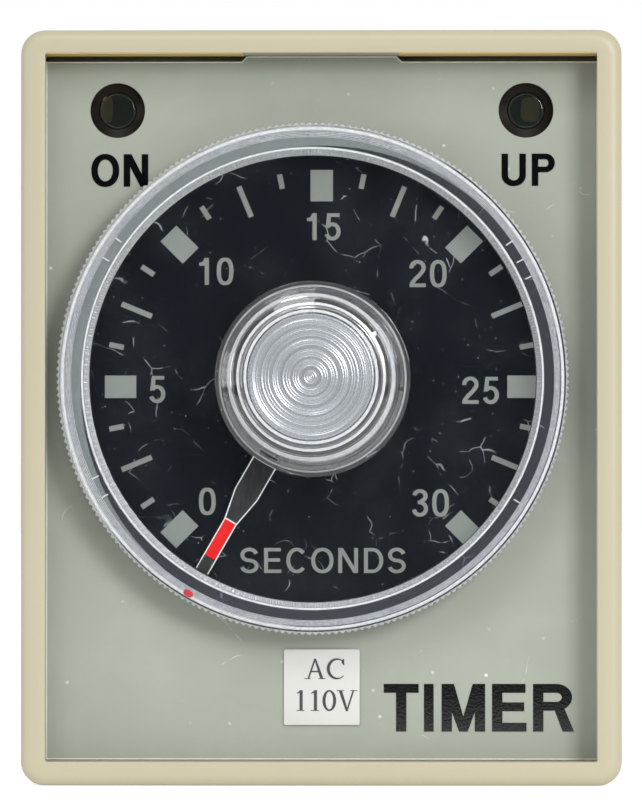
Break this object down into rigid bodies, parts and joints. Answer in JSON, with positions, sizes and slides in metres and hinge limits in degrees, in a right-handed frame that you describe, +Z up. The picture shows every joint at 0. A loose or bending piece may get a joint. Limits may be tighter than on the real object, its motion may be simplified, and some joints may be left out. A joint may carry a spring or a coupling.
{
  "type": "plug-in timer relay",
  "caption": "Plug-in analogue timer relay: ivory box case, recessed dial plate, clear turning knob with red pointer, signal lamps and an octal pin base.",
  "frame": {"origin": "middle of the underside of the object's box, as it lies on its lower long side", "axes": "+X to the right seen from the front, +Y from the dial back to the pins, +Z up the dial"},
  "size_m": [0.04, 0.078, 0.0503],
  "materials": {
    "case_abs": "ivory moulded ABS, soft satin",
    "plate_abs": "grey-green moulded ABS, satin",
    "label_film": "screen-printed polyester film, satin",
    "sticker_paper": "matt white paper",
    "clear_styrene": "clear moulded polystyrene, glossy",
    "lamp_epoxy": "tinted epoxy lens, glossy",
    "black_moulding": "black moulded nylon, satin",
    "black_phenolic": "black moulded phenolic, slightly mottled",
    "board_laminate": "green masked glass laminate",
    "brown_laminate": "bare paper phenolic laminate",
    "nickel_plate": "bright nickel plating on brass",
    "brass": "drawn brass, bright",
    "copper": "enamelled copper wire and bronze strip",
    "soft_iron": "zinc-flashed soft iron",
    "zinc_plate": "zinc-plated steel",
    "red_epoxy": "red-brown epoxy coating",
    "blue_sleeve": "dark blue heat-shrunk sleeve",
    "resistor_body": "pale blue-green fired coating"
  },
  "bodies": {
    "housing": {"case": "case_abs", "front_plate": "plate_abs", "face_label": "label_film", "rating_sticker": "sticker_paper", "on_lamp": "lamp_epoxy", "on_lamp_spacer": "black_moulding", "up_lamp": "lamp_epoxy", "up_lamp_spacer": "black_moulding", "pot_can": "zinc_plate", "pot_bushing": "brass", "pot_wafer": "brown_laminate", "pot_washer": "nickel_plate", "pot_nut": "nickel_plate", "front_board": "board_laminate", "main_board": "board_laminate", "supply_board": "board_laminate", "base_board": "brown_laminate", "dropper_capacitor": "red_epoxy", "smoothing_capacitor": "blue_sleeve", "bridge_rectifier": "black_moulding", "dropper_resistor": "resistor_body", "timing_capacitor": "blue_sleeve", "timer_chip": "black_moulding", "trimmer_body": "blue_sleeve", "relay_base": "black_moulding", "relay_cover": "clear_styrene", "relay_yoke": "soft_iron", "relay_core": "soft_iron", "relay_bobbin": "black_moulding", "relay_winding": "copper", "relay_return_spring": "nickel_plate", "relay_open_contact_left": "brass", "relay_closed_contact_left": "brass", "relay_open_contact_right": "brass", "relay_closed_contact_right": "brass", "octal_base": "black_phenolic", "pin_1": "nickel_plate", "pin_2": "nickel_plate", "pin_3": "nickel_plate", "pin_4": "nickel_plate", "pin_5": "nickel_plate", "pin_6": "nickel_plate", "pin_7": "nickel_plate", "pin_8": "nickel_plate", "base_screw_top": "zinc_plate", "base_screw_bottom": "zinc_plate"},
    "knob": {"knob": "clear_styrene", "pot_shaft": "nickel_plate", "pot_rotor": "black_moulding"},
    "armature": {"relay_armature": "soft_iron", "relay_contact_carrier": "case_abs", "relay_moving_leaf_left": "copper", "relay_moving_leaf_right": "copper"},
    "trimmer": {"trimmer_rotor": "nickel_plate"}
  },
  "joints": [
    {"name": "knob_turn", "type": "hinge", "parent": "housing", "child": "knob", "pos_m": [-0.00057, -0.03, 0.02708], "axis": [0, 1, 0], "range_deg": [0, 300]},
    {"name": "armature_swing", "type": "hinge", "parent": "housing", "child": "armature", "pos_m": [-0.0001, 0.005, 0.03605], "axis": [0, 1, 0], "range_deg": [0, 3.5], "stiffness_Nm_per_rad": 0.01},
    {"name": "trimmer_turn", "type": "hinge", "parent": "housing", "child": "trimmer", "pos_m": [-0.0095, -0.012, 0.01315], "axis": [1, 0, 0], "range_deg": [-120, 120]}
  ]
}
